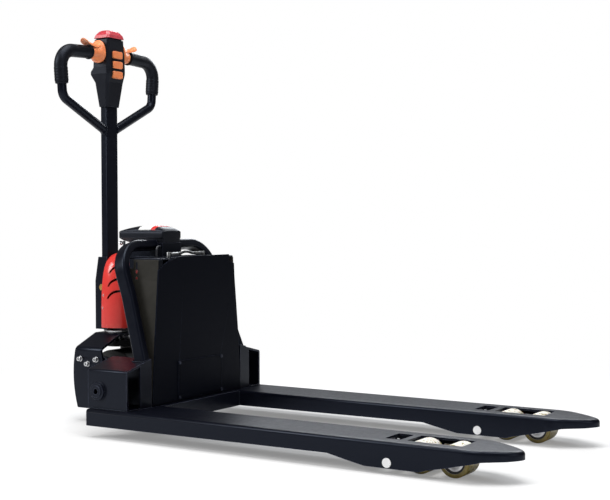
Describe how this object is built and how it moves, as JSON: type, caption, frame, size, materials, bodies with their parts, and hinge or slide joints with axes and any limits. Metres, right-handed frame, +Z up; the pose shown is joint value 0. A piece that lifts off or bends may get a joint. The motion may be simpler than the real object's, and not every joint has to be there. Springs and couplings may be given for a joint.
{
  "type": "electric pallet truck",
  "caption": "Compact pedestrian electric pallet truck with a removable battery, a butterfly tiller head, a single drive wheel and tandem fork rollers.",
  "frame": {"origin": "centre of the footprint on the floor", "axes": "+X from the operator's end to the fork tips, +Y to the left fork, +Z up"},
  "size_m": [1.564, 0.6886, 1.208],
  "materials": {
    "cover_red": "gloss",
    "cap_red": "satin",
    "frame_dark": "satin",
    "panel_grey": "satin",
    "black_plastic": "matte",
    "grip_rubber": "matte",
    "button_orange": "satin",
    "steel": "brushed",
    "chrome": "polished",
    "cast": "cast",
    "aluminium": "satin",
    "motor_black": "satin",
    "tyre_black": "matte",
    "roller_cream": "satin",
    "cable_grey": "satin",
    "hose_black": "satin"
  },
  "bodies": {
    "chassis": {"chassis_arch": "frame_dark", "chassis_frame": "frame_dark", "arch_bolts": "steel", "lift_cylinder": "frame_dark"},
    "drive_unit": {"turntable": "steel", "gearbox_housing": "cast", "drive_motor": "motor_black", "motor_cover": "cover_red", "tiller_base": "frame_dark", "tiller_pivot_pin": "steel"},
    "drive_wheel": {"drive_hub": "cast", "drive_tyre": "tyre_black"},
    "tiller": {"tiller_tube": "frame_dark", "left_handle_tube": "frame_dark", "right_handle_tube": "frame_dark", "left_grip": "grip_rubber", "right_grip": "grip_rubber", "head_housing": "black_plastic"},
    "throttle": {"throttle_link": "steel", "left_throttle": "button_orange", "right_throttle": "button_orange"},
    "raise_key": {"raise_button": "button_orange"},
    "lower_key": {"lower_button": "button_orange"},
    "horn_key": {"horn_button": "button_orange"},
    "safety_cap": {"belly_button": "cap_red"},
    "fork_frame": {"left_fork": "frame_dark", "right_fork": "frame_dark", "cross_member": "frame_dark", "front_plate": "frame_dark", "access_panel": "frame_dark", "panel_screws": "steel", "side_panels": "panel_grey", "guard_hoops": "frame_dark", "left_heel_bracket": "frame_dark", "right_heel_bracket": "frame_dark", "battery_dock": "frame_dark", "power_unit": "aluminium", "controller": "aluminium", "battery_cable": "cable_grey", "hose": "hose_black", "hose_fittings": "chrome", "piston_rod": "chrome", "fork_pins": "steel"},
    "battery": {"battery_pack": "black_plastic"},
    "latch": {"battery_latch": "chrome"},
    "rocker": {"rocker": "frame_dark"},
    "left_push_rod": {"left_push_rod": "steel"},
    "left_roller_arm": {"left_roller_arm": "steel"},
    "left_bogie": {"left_bogie": "steel"},
    "left_inner_roller": {"left_inner_roller_hub": "cast", "left_inner_roller_tyre": "roller_cream"},
    "left_outer_roller": {"left_outer_roller_hub": "cast", "left_outer_roller_tyre": "roller_cream"},
    "right_push_rod": {"right_push_rod": "steel"},
    "right_roller_arm": {"right_roller_arm": "steel"},
    "right_bogie": {"right_bogie": "steel"},
    "right_inner_roller": {"right_inner_roller_hub": "cast", "right_inner_roller_tyre": "roller_cream"},
    "right_outer_roller": {"right_outer_roller_hub": "cast", "right_outer_roller_tyre": "roller_cream"}
  },
  "joints": [
    {"name": "steer", "type": "hinge", "parent": "chassis", "child": "drive_unit", "pos_m": [-0.677, 0, 0.265], "axis": [0, 0, 1], "range_deg": [-90, 90]},
    {"name": "wheel_roll", "type": "hinge", "parent": "drive_unit", "child": "drive_wheel", "pos_m": [-0.677, 0, 0.105], "axis": [0, 1, 0], "continuous": true},
    {"name": "tiller_tilt", "type": "hinge", "parent": "drive_unit", "child": "tiller", "pos_m": [-0.7175, 0, 0.405], "axis": [0, -1, 0], "range_deg": [0, 80], "stiffness_Nm_per_rad": 30, "springref_deg": -51.57},
    {"name": "throttle_turn", "type": "hinge", "parent": "tiller", "child": "throttle", "pos_m": [-0.7175, 0, 1.134], "axis": [0, 1, 0], "range_deg": [-32, 32], "stiffness_Nm_per_rad": 1},
    {"name": "raise_press", "type": "slide", "parent": "tiller", "child": "raise_key", "axis": [-1, 0, 0], "range_m": [0, 0.003], "stiffness_N_per_m": 400, "springref_m": -0.0008},
    {"name": "lower_press", "type": "slide", "parent": "tiller", "child": "lower_key", "axis": [-1, 0, 0], "range_m": [0, 0.003], "stiffness_N_per_m": 400, "springref_m": -0.0008},
    {"name": "horn_press", "type": "slide", "parent": "tiller", "child": "horn_key", "axis": [-1, 0, 0], "range_m": [0, 0.003], "stiffness_N_per_m": 400, "springref_m": -0.0008},
    {"name": "safety_press", "type": "slide", "parent": "tiller", "child": "safety_cap", "axis": [0, 0, -1], "range_m": [0, 0.0035], "stiffness_N_per_m": 800, "springref_m": -0.002},
    {"name": "lift", "type": "slide", "parent": "chassis", "child": "fork_frame", "axis": [0, 0, 1], "range_m": [0, 0.105]},
    {"name": "battery_pull", "type": "slide", "parent": "fork_frame", "child": "battery", "axis": [0, 0, 1], "range_m": [0, 0.12]},
    {"name": "latch_pull", "type": "slide", "parent": "battery", "child": "latch", "axis": [-1, 0, 0], "range_m": [0, 0.003], "stiffness_N_per_m": 200, "springref_m": -0.001},
    {"name": "rocker_turn", "type": "hinge", "parent": "fork_frame", "child": "rocker", "pos_m": [-0.475, 0, 0.131], "axis": [0, 1, 0], "range_deg": [-35.05, 0]},
    {"name": "left_rod_slide", "type": "slide", "parent": "fork_frame", "child": "left_push_rod", "axis": [1, 0, 0], "range_m": [0, 0.0428]},
    {"name": "left_arm_swing", "type": "hinge", "parent": "fork_frame", "child": "left_roller_arm", "pos_m": [0.461, 0.2625, 0.029], "axis": [0, 1, 0], "range_deg": [0, 64.9]},
    {"name": "left_bogie_tilt", "type": "hinge", "parent": "left_roller_arm", "child": "left_bogie", "pos_m": [0.57, 0.2625, 0.04], "axis": [0, 1, 0], "range_deg": [-64.9, 0]},
    {"name": "left_inner_roll", "type": "hinge", "parent": "left_bogie", "child": "left_inner_roller", "pos_m": [0.524, 0.2625, 0.04], "axis": [0, 1, 0], "continuous": true},
    {"name": "left_outer_roll", "type": "hinge", "parent": "left_bogie", "child": "left_outer_roller", "pos_m": [0.616, 0.2625, 0.04], "axis": [0, 1, 0], "continuous": true},
    {"name": "right_rod_slide", "type": "slide", "parent": "fork_frame", "child": "right_push_rod", "axis": [1, 0, 0], "range_m": [0, 0.0428]},
    {"name": "right_arm_swing", "type": "hinge", "parent": "fork_frame", "child": "right_roller_arm", "pos_m": [0.461, -0.2625, 0.029], "axis": [0, 1, 0], "range_deg": [0, 64.9]},
    {"name": "right_bogie_tilt", "type": "hinge", "parent": "right_roller_arm", "child": "right_bogie", "pos_m": [0.57, -0.2625, 0.04], "axis": [0, 1, 0], "range_deg": [-64.9, 0]},
    {"name": "right_inner_roll", "type": "hinge", "parent": "right_bogie", "child": "right_inner_roller", "pos_m": [0.524, -0.2625, 0.04], "axis": [0, 1, 0], "continuous": true},
    {"name": "right_outer_roll", "type": "hinge", "parent": "right_bogie", "child": "right_outer_roller", "pos_m": [0.616, -0.2625, 0.04], "axis": [0, 1, 0], "continuous": true}
  ],
  "couplings": [
    {"joint": "rocker_turn", "follows": "lift", "rad_per_m": -5.8178},
    {"joint": "left_rod_slide", "follows": "lift", "ratio": 0.40667},
    {"joint": "left_arm_swing", "follows": "lift", "rad_per_m": 10.771},
    {"joint": "left_bogie_tilt", "follows": "lift", "rad_per_m": -10.771},
    {"joint": "right_rod_slide", "follows": "lift", "ratio": 0.40667},
    {"joint": "right_arm_swing", "follows": "lift", "rad_per_m": 10.771},
    {"joint": "right_bogie_tilt", "follows": "lift", "rad_per_m": -10.771}
  ]
}
